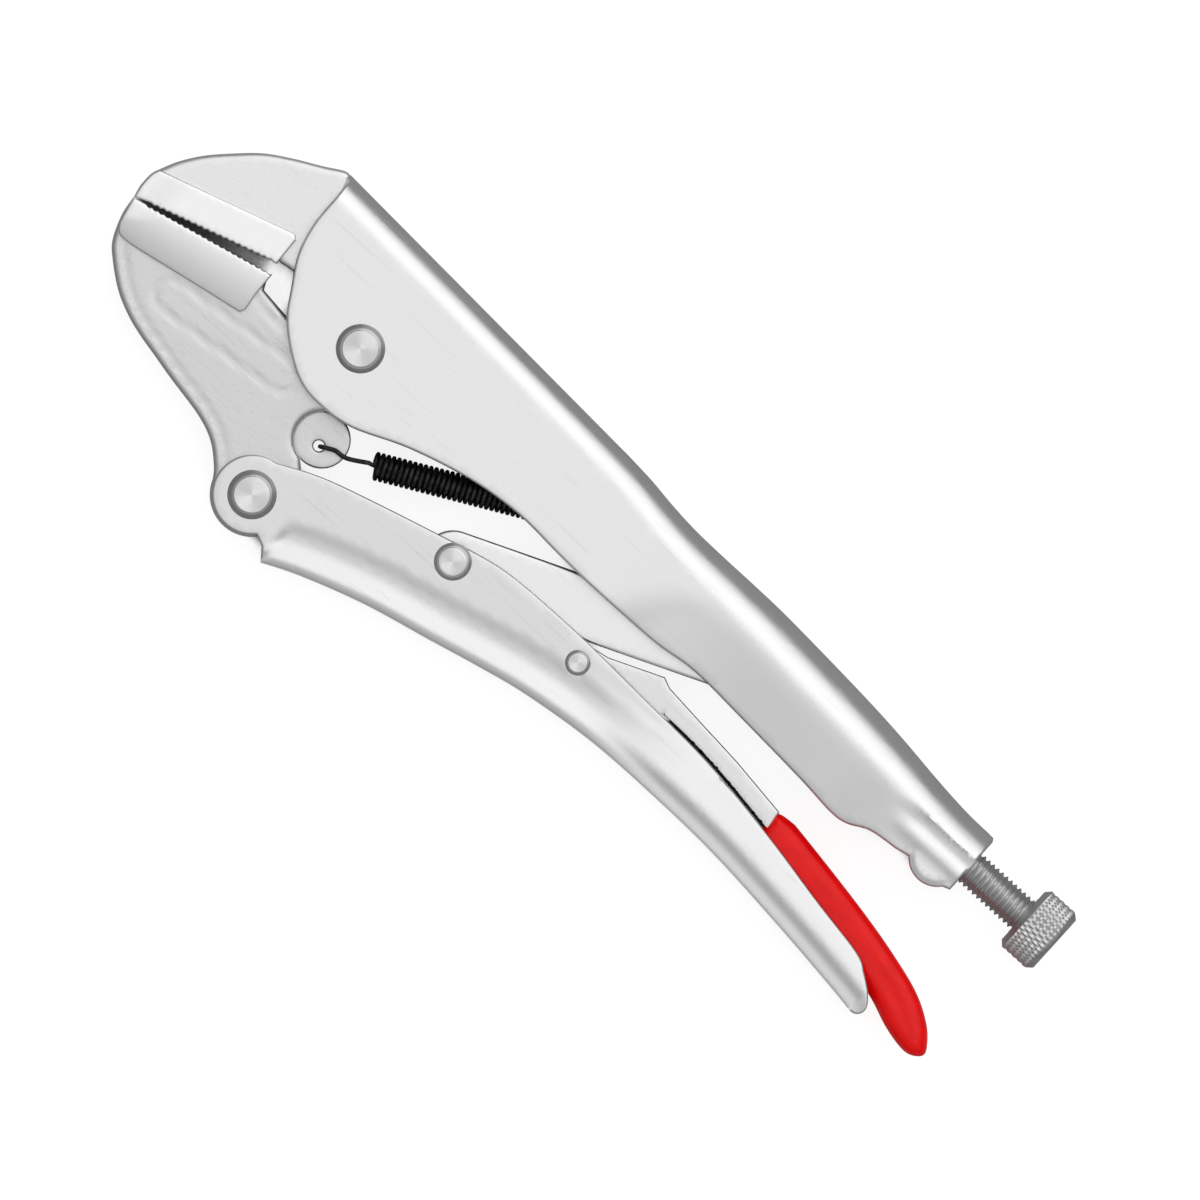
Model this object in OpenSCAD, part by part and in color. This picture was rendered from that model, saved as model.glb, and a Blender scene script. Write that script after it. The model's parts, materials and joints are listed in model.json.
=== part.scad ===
// Locking pliers with universal jaws, 250 mm long, lying flat and locked shut.
// The origin is on the main pivot's axis, on the surface that the tool rests on.
// +X runs along the adjusting screw from the jaws to the knob, +Y points to the back of the
// fixed handle, and +Z is up, square to the flat of the tool. Angles grow from +X to +Y.
// Every piece is laid out about the tool's mid plane and lifted by rest_h at the end.

/* [Jaws] */
// From the main pivot to the nose of the jaws
jaw_len = 57.3; // [48:0.1:69]
// From the main pivot to the throat, where the gripping bars end
throat_x = 25.2; // [24.8:0.1:26.5]
// Thickness of the forged webs
jaw_web = 9; // [7.5:0.1:10.8]
// Width of the gripping bars
grip_w = 14.4; // [12:0.1:15]
// Height of the upper gripping bar
grip_h = 7.7; // [6:0.1:9]
// Slope of the upper grip face
grip_slope = 17; // [14:0.5:20]
// Angle that the locked grip faces open towards the throat
grip_wedge = 3.9; // [2.5:0.1:5]
// Distance from tooth to tooth
tooth_pitch = 1.6; // [1.2:0.1:2.4]
// Depth of the teeth
tooth_depth = 0.5; // [0.3:0.1:0.8]
// Radius of the lower jaw's boss on the main pivot
boss_r = 9; // [8:0.1:9.5]
// Radius of the lower jaw's eye on the lever pivot
eye_r = 8.9; // [8:0.1:9.5]

/* [Fixed handle] */
// From the main pivot to the tail face
handle_len = 168; // [140:1:201]
// Thickness of the handle's steel sheet
sheet = 2.8; // [2.3:0.02:3.4]
// Radius of the fold along the back of the cheeks
fold_r = 3; // [2:0.1:4]
// Radius of the round grip behind the waist
grip_r = 8.7; // [8.2:0.1:9]
// Radius of the threaded tail
tail_r = 7.95; // [7:0.05:8.4]
// Length of the thread in the tail
thread_len = 18; // [14:0.5:22]

/* [Lever handle] */
// From the main pivot to the tip of the lever handle
lever_len = 171.8; // [144:0.1:180]
// Thickness of the lever's steel sheet
lever_sheet = 2.4; // [2:0.1:2.8]
// Half width of the flared back
flare_half = 8.4; // [7.8:0.1:8.6]

/* [Linkage] */
// Lever pivot, along X
lever_px = 3.7; // [0:0.1:6]
// Lever pivot, along Y
lever_py = -38; // [-40:0.1:-37]
// Link pivot, along X
link_px = 44.4; // [42:0.1:46]
// Link pivot, along Y
link_py = -20.1; // [-21:0.1:-19.5]
// Release pivot, along X
release_px = 78.1; // [76:0.1:80]
// Release pivot, along Y
release_py = -18.2; // [-19:0.1:-18]
// Centre of the link's nose, along X
nose_x = 104.5; // [102:0.1:106]
// Height of the adjusting screw's axis
screw_y = 5.3; // [4.6:0.1:6]
// Width of the toggle link
link_w = 13.2; // [11:0.1:15.9]
// Thickness of the toggle link
link_t = 7.6; // [6.3:0.1:8.6]
// Radius of the toggle link's nose
link_nose_r = 5.5; // [5:0.1:6]
// Gap between the link's nose and the screw's tip
toggle_gap = 3.6; // [3.5:0.1:5]

/* [Release lever] */
// From the main pivot to the end of the release lever
release_len = 188.5; // [180:0.1:215]
// Thickness of the release lever's plate
release_t = 6; // [4:0.1:6.4]
// Wall of the dipped sleeve
sleeve_wall = 0.9; // [0.6:0.1:1.2]
// Gap between the release lever's shoulder and the link
release_gap = 1.6; // [1.55:0.05:2.5]

/* [Rivets] */
// Shank of the main and lever rivets
rivet_d = 7.2; // [6:0.1:8]
// Head of the main and lever rivets
rivet_head_d = 10.4; // [9.6:0.1:12]
// Height of the main rivet's heads above the cheeks
rivet_head_h = 1.3; // [1.2:0.1:2]
// Shank of the link rivet
link_rivet_d = 5.6; // [4.5:0.1:6]
// Head of the link rivet
link_head_d = 8; // [7:0.1:9]
// Shank of the release pin
pin_d = 3.6; // [3:0.1:4]
// Head of the release pin
pin_head_d = 5.4; // [5:0.1:6]

/* [Adjusting screw] */
// Diameter of the screw
screw_d = 8; // [7:0.1:9]
// Bare shank between the tail and the knob
shank_out = 15; // [12:0.5:25]
// Diameter of the knurled knob
knob_d = 15.7; // [14:0.1:17]
// Width of the knurled knob
knob_w = 9; // [7:0.1:12]
// Length of the tip pin in front of the screw
tip_len = 6; // [4:0.1:8]
// Diameter of the tip pin's spigot
spigot_d = 3; // [2.4:0.1:4]

/* [Spring] */
// Outer diameter of the coil
coil_d = 6.2; // [5:0.1:7]
// Diameter of the wire
wire_d = 1; // [0.8:0.05:1.2]
// Distance from turn to turn
coil_pitch = 1.15; // [1.1:0.01:1.4]
// Number of turns
coil_turns = 42; // [36:1:44]
// Diameter of the holes for the hooks
hook_hole_d = 2.3; // [2:0.1:3]

/* [Clearances] */
// Radial clearance of a pivot that turns
run_clear = 0.05; // [0.02:0.01:0.1]
// Radial clearance of a pivot that is clenched tight
tight_clear = 0.01; // [0.01:0.005:0.02]
// Clearance on each side between a jaw and the cheeks around it
side_clear = 0.1; // [0.05:0.01:0.2]
// Gap between pieces that pass each other inside the handle
pass_clear = 0.4; // [0.3:0.1:0.6]
// Gap on each side between the toggle link and the handle's flanges
flange_clear = 0.3; // [0.1:0.05:0.6]
// Gap between the noses of the locked jaws
nose_clear = 0.15; // [0.1:0.01:0.3]

/* [Hidden] */
$fn = 64;

// Half widths, from the mid plane out
slot_half = jaw_web / 2 + side_clear;       // inner faces of the cheeks, on both handles
cheek_half = slot_half + sheet;             // outer face of the fixed handle's cheeks
lever_half = slot_half + lever_sheet;       // outer face of the lever's cheeks
flange_slot = link_t / 2 + flange_clear;    // inner face of the fixed handle's flanges
flange_half = flange_slot + sheet;          // outer face of those flanges
rest_h = max(cheek_half + rivet_head_h, grip_r, flare_half); // mid plane above the floor
cut = 1;                                    // how far a cutting solid runs past a face

// Points of the linkage
main_p = [0, 0];
lever_p = [lever_px, lever_py];
link_p = [link_px, link_py];
release_p = [release_px, release_py];
nose_p = [nose_x, screw_y];
link_angle = atan2(nose_p.y - link_p.y, nose_p.x - link_p.x);

// Places along X
waist_x = 60;                               // where both handles begin to narrow
thread_x = handle_len - thread_len;         // inner end of the threaded tail
tip_x = nose_x + link_nose_r + toggle_gap;  // front of the tip pin
screw_x = tip_x + tip_len;                  // front of the screw
knob_x = handle_len + shank_out;            // inner face of the knob
lug_c = [lever_px + 3.1, lever_py + 18.4];  // centre of the lower jaw's spring lug
lug_r = 6.1;
lug_half = 2.5;                             // half thickness of the spot-faced lug
hook_p = lug_c + [0.4, -1.4];               // hole for the spring's front hook
tab_p = [66.5, 9.2];                        // hole for the spring's rear hook, in the handle's tab
tab_half = 1;                               // half thickness of that tab

// Line of the fixed handle's back over the cheeks, and the axis of its round grip
back_slope = -0.0537;
back_y0 = 24.25;
grip_axis_slope = -0.0682;
grip_axis_y = screw_y + 0.3;                // height of the grip's axis at the tail face
function back_y(x) = back_y0 + back_slope * x;
function grip_axis(x) = grip_axis_y + grip_axis_slope * (x - handle_len);

// x of a point a share t of the way from the waist to the end of a handle
function along(t, end) = waist_x + t * (end - waist_x);
// A point a share f of the way from the throat to the nose, h above the upper grip face
function jaw_point(f, h) = let (x = -throat_x - f * (jaw_len - throat_x)) [x, grip_y(x) + h];
grip_rear_y = 1.35;                         // height of the upper grip face at the throat
function grip_y(x) = grip_rear_y + (x + throat_x) * tan(grip_slope);
nose_grip_x = -throat_x - 0.98 * (jaw_len - throat_x);
function lower_grip_y(x) =
    grip_y(nose_grip_x) - nose_clear + (x - nose_grip_x) * tan(grip_slope - grip_wedge);

// ---- curves ----

function polar(c, r, a) = [c.x + r * cos(a), c.y + r * sin(a)];
function arc(c, r, from, to, n = 10) = [for (i = [0:n]) polar(c, r, from + (to - from) * i / n)];
function blend4(a, b, c, d, t) = 0.5 * (2 * b + (c - a) * t + (2 * a - 5 * b + 4 * c - d) * t * t
    + (3 * b - a - 3 * c + d) * t * t * t);
// A smooth curve through the points p, with n steps from one to the next
function through(p, n = 3) = let (e = len(p) - 1) concat(
    [for (i = [0:e - 1], s = [0:n - 1])
        blend4(p[max(i - 1, 0)], p[i], p[i + 1], p[min(i + 2, e)], s / n)],
    [p[e]]);
// Teeth from a to b, cut to the side that is to the right on the way
function teeth(a, b) = let (
    d = b - a, n = floor(norm(d) / tooth_pitch), u = d / n,
    side = [d.y, -d.x] / norm(d) * tooth_depth)
    [for (i = [0:n - 1]) each [a + i * u, a + (i + 0.5) * u + side]];

// ---- building blocks ----

module lay() { translate([0, 0, rest_h]) children(); }
module plate(outline, half) { translate([0, 0, -half]) linear_extrude(2 * half) polygon(outline); }
module disc(c, r, half) { translate([c.x, c.y, -half]) cylinder(h = 2 * half, r = r); }

// A rivet with a turned groove in both heads: seat is half the grip, top half the full length
module rivet(c, shank_r, head_r, seat, top) {
    bevel = 0.3;
    groove = 0.35 * (top - seat);
    disc_r = 0.64 * head_r;
    half = [[0, top], [disc_r, top], [disc_r, top - groove], [disc_r + 0.12 * head_r, top - groove],
        [disc_r + 0.12 * head_r, top], [head_r - bevel, top], [head_r, top - bevel],
        [head_r, seat], [shank_r, seat]];
    translate([c.x, c.y, 0]) rotate_extrude() polygon(concat(half,
        [for (i = [len(half) - 1:-1:0]) [half[i].x, -half[i].y]]));
}

// ---- jaws ----

// Crown of the upper jaw, from the nose to the fixed handle
function crown() = through([jaw_point(0.98, 0), jaw_point(1, 3.2), jaw_point(0.997, 6.2),
    jaw_point(0.969, 8.3), jaw_point(0.913, 11.4), jaw_point(0.82, 14.7), jaw_point(0.70, 17.6),
    jaw_point(0.55, 20.6), jaw_point(0.38, 22.3), jaw_point(0.2, 23.3),
    [-throat_x - 1.75, back_y(-throat_x) - 0.9]]);

// The tang fits under the folded back and round the lower jaw's boss
function tang() = let (
    gap_r = boss_r + pass_clear, rear_x = 19, low = 162, high = 38,
    top = -sheet - side_clear)
    concat([[-throat_x - 1.75, back_y(-throat_x) + top], [rear_x, back_y(rear_x) + top],
        [rear_x, gap_r * sin(high) + 3]],
        [polar(main_p, gap_r, high) + [2, 0]],
        arc(main_p, gap_r, high, low),
        [[-throat_x + 4.2, 2.6], [-throat_x + 0.6, 2.1]]);

// Upper gripping bar, with its toothed face below
module upper_bar() {
    rear = [-throat_x + 0.2, grip_y(-throat_x + 0.2)];
    nose = [nose_grip_x, grip_y(nose_grip_x)];
    plate(concat(teeth(rear + [-0.8, -0.8 * tan(grip_slope)], nose + [3, 3 * tan(grip_slope)]), [nose],
        through([nose, jaw_point(1, 3.2), jaw_point(0.997, 6.2), jaw_point(0.975, grip_h)]),
        [jaw_point(0.04, grip_h), jaw_point(0.005, grip_h - 1.1), rear]), grip_w / 2);
}

module upper_jaw() {
    color("gainsboro") lay() union() {
        plate(concat(crown(), tang(), [[-throat_x + 0.2, grip_y(-throat_x) + 0.9]]), jaw_web / 2);
        upper_bar();
    }
}

// Outer edge of the lower jaw, from the nose round to the lever pivot's eye
function belly() = through([[nose_grip_x, lower_grip_y(nose_grip_x)], jaw_point(0.96, -4.7),
    jaw_point(0.894, -10.6), jaw_point(0.807, -14.5), jaw_point(0.648, -20), jaw_point(0.492, -24),
    jaw_point(0.346, -26.9), jaw_point(0.174, -29.8), [-throat_x, lever_py + 6.6],
    [-16, lever_py + 4.8], [-10.5, lever_py + 2.6], [lever_px - eye_r - 1.2, lever_py - 0.8],
    polar(lever_p, eye_r, 205)]);

// Lower gripping bar, with its toothed face above; the forging runs out into the web in a step
module lower_bar() {
    rear = [-throat_x + 1, lower_grip_y(-throat_x + 1)];
    nose = [nose_grip_x, lower_grip_y(nose_grip_x)];
    under = 11.4;                           // height of the bar at the throat
    step_in = 1.3;                          // how far the runout stands back from the bar's side
    first = nose + 3 * [1, tan(grip_slope - grip_wedge)];
    plate(concat(teeth(first, rear), [rear, [-throat_x + 2.3, rear.y - 8],
        [-throat_x + 2.3, rear.y - under], jaw_point(0.55, -9.4), jaw_point(0.88, -7.2),
        jaw_point(0.957, -4.4), nose]), grip_w / 2);
    plate([[-throat_x + 2, rear.y - 6], [-throat_x + 1.4, rear.y - under - 1.6],
        jaw_point(0.55, -11), jaw_point(0.87, -8.6), jaw_point(0.93, -5)], grip_w / 2 - step_in);
}

module lower_jaw() {
    neck = [[lever_px + eye_r - 0.3, lever_py], [lug_c.x + 2.5, lug_c.y - 5.6],
        [lug_c.x + 4, lug_c.y + 5], [boss_r - 1, -4], [-boss_r + 1.2, -3.6],
        [-throat_x + 9.3, -5.4], [-throat_x + 1.9, -4.5]];
    color("lightgray") lay() difference() {
        union() {
            plate(concat(belly(), [lever_p], neck, [[-throat_x + 0.6, lower_grip_y(-throat_x) - 0.7]]),
                jaw_web / 2);
            disc(main_p, boss_r, jaw_web / 2);
            disc(lever_p, eye_r, jaw_web / 2);
            disc(lug_c, lug_r, lug_half);
            lower_bar();
        }
        for (s = [-1, 1]) translate([lug_c.x, lug_c.y, s * (lug_half + jaw_web / 2)])
            cylinder(h = jaw_web, r = lug_r, center = true);
        disc(hook_p, hook_hole_d / 2, jaw_web);
        disc(main_p, rivet_d / 2 + run_clear, jaw_web);
        disc(lever_p, rivet_d / 2 + run_clear, jaw_web);
    }
}

// ---- fixed handle ----

// Front edge of a cheek and its lower edge up to the waist
function cheek_edge() = through([[-throat_x, back_y0 - 4], [-throat_x + 0.3, 12.9],
    [-throat_x + 2.1, 6], [-19.4, -0.3], [-15.8, -5.7], [-10.1, -10.6], [-4.1, -13.8], [2, -14.5],
    [9.8, -13.5], [21.8, -8.6], [35.6, -4.9], [48, -3.5], [waist_x, -4.1]]);

// Lower edge of the flanges, from the waist to the tail
function flange_edge() = through([for (p = [[0, -4.1], [0.105, -4.4], [0.25, -4.2], [0.347, -3.1],
    [0.48, -3.8], [0.639, -4.9], [0.725, -5.8], [0.765, -5.3], [0.807, -3.1], [0.868, -2.3]])
    [along(p.x, handle_len), p.y]]);

// The folded cheeks: their side outline, cut from a bar with the folded back's round corners
module cheeks(half) {
    end_low = 78;
    end_high = 90;
    intersection() {
        plate(concat(cheek_edge(), [[along(0.105, handle_len), -4.4], [end_low, -4.3], [end_low + 2, 5],
            [end_high, 12], [end_high - 4, 17.6], [78, 18.6], [70.5, 19.5], [64, 20.5], [57, back_y(57)],
            [-throat_x - 1.6, back_y(-throat_x - 1.6)], [-throat_x - 0.2, back_y(-throat_x) - 1.5]]), half);
        rotate([0, 0, atan(back_slope)]) translate([-60, back_y0 * cos(atan(back_slope)), 0])
            rotate([90, 0, 90]) linear_extrude(200)
            polygon(concat([[-50, -half], [-50, half]],
                arc([-fold_r, half - fold_r], fold_r, 90, 0, 6),
                arc([-fold_r, fold_r - half], fold_r, 0, -90, 6)));
    }
}

// The round grip behind the waist, shrunk by inset for its inside
module round_grip(inset, to) {
    run = handle_len - waist_x;
    r = [[0, 7.1], [0.13, 7.15], [0.25, 7.55], [0.33, 8.2], [0.42, grip_r], [0.6, grip_r],
        [0.72, grip_r - 0.25], [0.84, grip_r - 1.2], [1, grip_r - 1.6]];
    profile = [for (p = r) if (p.x <= to) [p.y - inset, p.x * run]];
    last = profile[len(profile) - 1];
    translate([waist_x, grip_axis(waist_x), 0]) rotate([0, 0, atan(grip_axis_slope)])
        rotate([0, 90, 0]) rotate_extrude() polygon(concat([[0, 0]], profile, [[0, last.y]]));
}

// The threaded tail with the round lobe where the flanges close under the screw
module tail() {
    lobe_r = 6.05;
    translate([thread_x, screw_y, 0]) rotate([0, 90, 0])
        cylinder(h = thread_len, r1 = tail_r + 0.25, r2 = tail_r);
    translate([handle_len - 6.4, screw_y - 3.2, 0]) rotate_extrude()
        polygon([[0, -5], [lobe_r - 2, -5], [lobe_r - 0.6, -4.3], [lobe_r, -2.6], [lobe_r, 2.6],
            [lobe_r - 0.6, 4.3], [lobe_r - 2, 5], [0, 5]]);
}

// Lug for the spring's rear hook, turned down from the back
module spring_tab() {
    top = back_y(tab_p.x) - sheet / 2 - 1;
    plate([[tab_p.x - 2, tab_p.y - 1], [tab_p.x - 1, tab_p.y - 2.1], [tab_p.x + 1, tab_p.y - 2.1],
        [tab_p.x + 2, tab_p.y - 1], [tab_p.x + 3, top], [tab_p.x - 3, top]], tab_half);
}

module handle_cavity() {
    // Between the cheeks, up to the underside of the folded back
    plate([[-throat_x - 8, -40], [76, -40], [76, 15.3], [62, back_y(62) - sheet],
        [-throat_x - 8, back_y(-throat_x - 8) - sheet]], slot_half);
    // Between the flanges, up to the round grip's inside
    plate([[waist_x, -40], [thread_x, -40], [thread_x, grip_axis(thread_x)],
        [waist_x, grip_axis(waist_x)]], flange_slot);
    round_grip(sheet, 0.84);
}

module fixed_handle() {
    color("silver") lay() union() {
        difference() {
            union() {
                cheeks(cheek_half);
                plate(concat(flange_edge(), [[thread_x + 6, screw_y], [waist_x, 10]]), flange_half);
                round_grip(0, 0.91);
                tail();
            }
            intersection() {
                handle_cavity();
                translate([-100, -60, -20]) cube([100 + thread_x, 100, 40]);
            }
            disc(main_p, rivet_d / 2 + tight_clear, cheek_half + cut);
            translate([thread_x - cut, screw_y, 0]) rotate([0, 90, 0])
                cylinder(h = thread_len + 2 * cut, r = screw_d / 2 + run_clear);
        }
        difference() {
            spring_tab();
            disc(tab_p, hook_hole_d / 2, tab_half + cut);
        }
    }
}

// ---- lever handle ----

// Lower edge of the lever, the back of the handle
function lever_back(up = 0) = through([for (p = [[0.026, -32.9], [0.129, -30.5], [0.276, -28.6],
    [0.4275, -28.3], [0.583, -28.8], [0.75, -30.6], [0.92, -32.9]])
    [along(p.x, lever_len), p.y + up]]);
function lever_front(up = 0) = [for (p = through([[14.6, -47.4], [22.8, -43.8], [36.7, -39.2],
    [51.8, -35.6], [along(0.026, lever_len), -32.9]])) [p.x, p.y + up]];

// Upper edge of the cheeks, from the tip back to the eye
function lever_edge() = through(concat([for (p = [[0.985, -29.6], [0.953, -26.1], [0.916, -23.9],
    [0.797, -21.5], [0.64, -18.1], [0.465, -15.3], [0.3, -14.4], [0.13, -13.6]])
    [along(p.x, lever_len), p.y]],
    [[57.8, -13.8], [49, -15], [38.9, -17.7], [25, -21.5], [12.2, -25.4], polar(lever_p, eye_r - 0.5, 95)]));

module lever_handle() {
    cheek_r = eye_r - 0.5;                  // radius of the cheeks round the lever pivot
    tip = [[lever_len - 1, -34.1], [lever_len, -32.4]];
    flare = 3;                              // height of the flared band along the back
    color("silver") lay() difference() {
        union() {
            plate(concat([lever_p], lever_front(), lever_back(), tip, lever_edge()), lever_half);
            plate(concat(lever_front(), lever_back(), tip, [[lever_len - 0.8, -30.4]],
                [for (i = [len(lever_back()) - 1:-1:0]) lever_back(flare)[i]],
                [for (i = [len(lever_front()) - 2:-1:0]) lever_front(flare)[i] + [-0.9, 0]]), flare_half);
            disc(lever_p, cheek_r, lever_half);
        }
        plate(concat([[-20, -60], [13, -60], [13, lever_front(lever_sheet)[0].y]],
            lever_front(lever_sheet), lever_back(lever_sheet),
            [[lever_len + 5, -32.9 + lever_sheet], [lever_len + 5, 0], [-20, 0]]), slot_half);
        disc(lever_p, rivet_d / 2 + tight_clear, flare_half + cut);
        disc(link_p, link_rivet_d / 2 + tight_clear, flare_half + cut);
        disc(release_p, pin_d / 2 + tight_clear, flare_half + cut);
    }
}

// ---- toggle link ----

// A point of the link, s along it from the link pivot and v across
function link_point(s, v) =
    link_p + [s * cos(link_angle) - v * sin(link_angle), s * sin(link_angle) + v * cos(link_angle)];

module toggle_link() {
    run = norm(nose_p - link_p);
    w = link_w / 2;
    color("gainsboro") lay() difference() {
        union() {
            plate([link_point(0, -w), link_point(run - 6, -w), link_point(run, -link_nose_r),
                link_point(run, link_nose_r), link_point(run - 6, w), link_point(0, w)], link_t / 2);
            disc(link_p, w, link_t / 2);
            disc(nose_p, link_nose_r, link_t / 2);
        }
        disc(link_p, link_rivet_d / 2 + run_clear, link_t);
    }
}

// ---- release lever ----

// Height of the line that the release lever's shoulder keeps under the link
function under_link(x) = let (p = link_point(0, -link_w / 2 - release_gap))
    p.y + (x - p.x) * tan(link_angle);

// Edge of the plate from above the shoulder round the end and back along the underside, grown by g
function blade(g) = let (
    top = [[0.9, -11.1], [0.62, -14.2], [0.36, -17.7], [0.2, -20.6], [0.11, -22.8], [0.045, -26.3],
        [0.015, -30.3]],
    low = [[0.02, -30.9], [0.06, -31.3], [0.12, -30.5], [0.22, -27.7], [0.4, -24.7], [0.62, -21.9],
        [0.86, -21.4]],
    at = function (t) release_len - sleeve_wall - t * (release_len - 110))
    concat(through([for (p = top) [at(p.x) + (p.x < 0.05 ? g : 0), p.y + g]]),
        through([for (p = low) [at(p.x), p.y - g]]));

sleeve_x = release_len - 0.745 * (release_len - 110); // where the dipped sleeve begins

module release_lever() {
    shoulder = [release_px + 15.6, under_link(release_px + 15.6)];
    across = (release_p - link_p) * [sin(link_angle), -cos(link_angle)];
    eye = across - link_w / 2 - pass_clear; // as large as fits under the link
    color("gainsboro") lay() difference() {
        union() {
            plate(concat([release_p, [release_px + 4, under_link(release_px + 4)], shoulder,
                shoulder + [2.4, -1], [along(0.4, lever_len), -10]], blade(0),
                [[release_px + 8, -22.3]]), release_t / 2);
            disc(release_p, eye, release_t / 2);
        }
        disc(release_p, pin_d / 2 + run_clear, release_t);
    }
}

module release_sleeve() {
    color("red") lay() difference() {
        intersection() {
            plate(blade(sleeve_wall), release_t / 2 + sleeve_wall);
            translate([sleeve_x, -60, -20]) cube([100, 60, 40]);
        }
        plate(blade(0), release_t / 2);
    }
}

// ---- rivets and pin ----

module jaw_rivet() {
    color("silver") lay() rivet(main_p, rivet_d / 2, rivet_head_d / 2, cheek_half, rest_h);
}

module lever_rivet() {
    color("silver") lay() rivet(lever_p, rivet_d / 2, rivet_head_d / 2, lever_half, rest_h);
}

module link_rivet() {
    color("silver") lay() rivet(link_p, link_rivet_d / 2, link_head_d / 2, lever_half, lever_half + 0.9);
}

module release_pin() {
    color("silver") lay() rivet(release_p, pin_d / 2, pin_head_d / 2, lever_half, lever_half + 0.6);
}

// ---- adjusting screw ----

module along_screw(x) { translate([x, screw_y, 0]) rotate([0, 90, 0]) children(); }

module adjusting_screw() {
    r = screw_d / 2;
    k = knob_d / 2;
    bevel = 1.1;
    color("darkgray") lay() difference() {
        union() {
            along_screw(screw_x) cylinder(h = knob_x - screw_x + cut, r = r);
            along_screw(knob_x) rotate_extrude() polygon([[0, 0], [k - bevel, 0], [k, bevel],
                [k, knob_w - bevel], [k - bevel, knob_w], [0, knob_w]]);
        }
        along_screw(screw_x - cut) cylinder(h = tip_len + 2 + cut, r = spigot_d / 2 + run_clear);
    }
}

module screw_tip() {
    r = screw_d / 2 - 0.4;
    color("darkgray") lay() along_screw(tip_x) rotate_extrude() polygon([[0, 0], [r - 2, 0],
        [r - 0.8, 0.5], [r, 1.6], [r, tip_len - 0.1], [spigot_d / 2, tip_len - 0.1],
        [spigot_d / 2, 2 * tip_len], [0, 2 * tip_len]]);
}

// ---- tension spring ----

coil_len = coil_turns * coil_pitch;
coil_from = [18.6, -16.3];                  // front end of the coil, on its axis
spring_angle = atan2(tab_p.y - coil_from.y - 0.4, tab_p.x - coil_from.x);

// Round wire along a chain of points, with a slightly fuller ball at each bend
module wire(path, r) {
    for (i = [0:len(path) - 2]) let (d = path[i + 1] - path[i])
        translate(path[i]) rotate([0, acos(d.z / norm(d)), atan2(d.y, d.x)])
            cylinder(h = norm(d), r = r);
    for (i = [1:len(path) - 2]) translate(path[i]) sphere(r * 1.1);
}

module tension_spring() {
    r = coil_d / 2;
    w = wire_d / 2;
    to = coil_from + coil_len * [cos(spring_angle), sin(spring_angle)];
    bore = r - wire_d;
    color([0.12, 0.12, 0.12]) lay() union() {
        // The coil, as a tube ribbed with one round per turn
        translate([coil_from.x, coil_from.y, 0]) rotate([0, 0, spring_angle]) rotate([0, 90, 0])
            rotate_extrude() polygon(concat([[bore, 0]],
                [for (i = [0:coil_turns - 1]) each [[r - 0.35 * wire_d, (i + 0.02) * coil_pitch],
                    [r, (i + 0.3) * coil_pitch], [r, (i + 0.7) * coil_pitch]]],
                [[r - 0.35 * wire_d, coil_len], [bore, coil_len]]));
        wire([[hook_p.x + 0.3, hook_p.y + 0.1, -lug_half - 1.2], [hook_p.x + 0.3, hook_p.y + 0.1, 0],
            [hook_p.x + 0.3, hook_p.y + 0.1, lug_half + 0.4], [hook_p.x + 0.9, hook_p.y + 0.5, lug_half + 1],
            [hook_p.x + 3.1, hook_p.y + 1.6, lug_half + 1.1], [hook_p.x + 5.9, hook_p.y + 2, lug_half + 0.8],
            [coil_from.x - 1.6, coil_from.y - 0.6, lug_half + 0.4],
            [coil_from.x + 0.5, coil_from.y + 0.25, r - w - 0.05]], w);
        wire([[to.x - 0.5, to.y - 0.25, r - w - 0.05], [to.x + 1.2, to.y + 0.6, r - w - 0.1],
            [tab_p.x - 1.5, tab_p.y - 0.8, tab_half + 1.2], [tab_p.x - 0.6, tab_p.y - 0.3, tab_half + 0.9],
            [tab_p.x - 0.3, tab_p.y - 0.15, tab_half], [tab_p.x - 0.3, tab_p.y - 0.15, 0],
            [tab_p.x - 0.3, tab_p.y - 0.15, -tab_half - 1]], w);
    }
}

fixed_handle();
upper_jaw();
lower_jaw();
jaw_rivet();
lever_handle();
lever_rivet();
toggle_link();
link_rivet();
release_lever();
release_sleeve();
release_pin();
adjusting_screw();
screw_tip();
tension_spring();
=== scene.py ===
"""Locking pliers lying flat and locked shut. Shapes are laid out in mm about the tool's mid plane."""

import json
import math

import bmesh
import bpy
import numpy as np
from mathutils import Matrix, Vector
from mathutils.geometry import delaunay_2d_cdt


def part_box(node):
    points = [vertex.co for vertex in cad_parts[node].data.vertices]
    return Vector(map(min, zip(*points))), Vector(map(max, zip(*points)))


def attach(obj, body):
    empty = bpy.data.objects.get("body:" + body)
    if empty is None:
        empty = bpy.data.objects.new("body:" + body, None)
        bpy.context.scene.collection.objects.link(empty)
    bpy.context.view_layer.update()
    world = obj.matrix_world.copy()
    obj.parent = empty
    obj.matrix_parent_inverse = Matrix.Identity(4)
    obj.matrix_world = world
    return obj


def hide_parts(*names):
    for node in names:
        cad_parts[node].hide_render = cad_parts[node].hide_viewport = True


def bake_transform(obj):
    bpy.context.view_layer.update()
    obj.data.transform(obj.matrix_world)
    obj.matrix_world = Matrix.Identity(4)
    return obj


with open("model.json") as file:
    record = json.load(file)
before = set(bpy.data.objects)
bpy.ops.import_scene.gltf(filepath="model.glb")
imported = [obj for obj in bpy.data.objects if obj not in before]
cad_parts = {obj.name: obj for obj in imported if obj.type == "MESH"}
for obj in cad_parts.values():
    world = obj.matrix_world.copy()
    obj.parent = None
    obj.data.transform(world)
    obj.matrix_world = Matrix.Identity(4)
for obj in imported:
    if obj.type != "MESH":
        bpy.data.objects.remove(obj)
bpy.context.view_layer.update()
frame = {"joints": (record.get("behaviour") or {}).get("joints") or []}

MM = 0.001


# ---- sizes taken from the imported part, in mm ----

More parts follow.
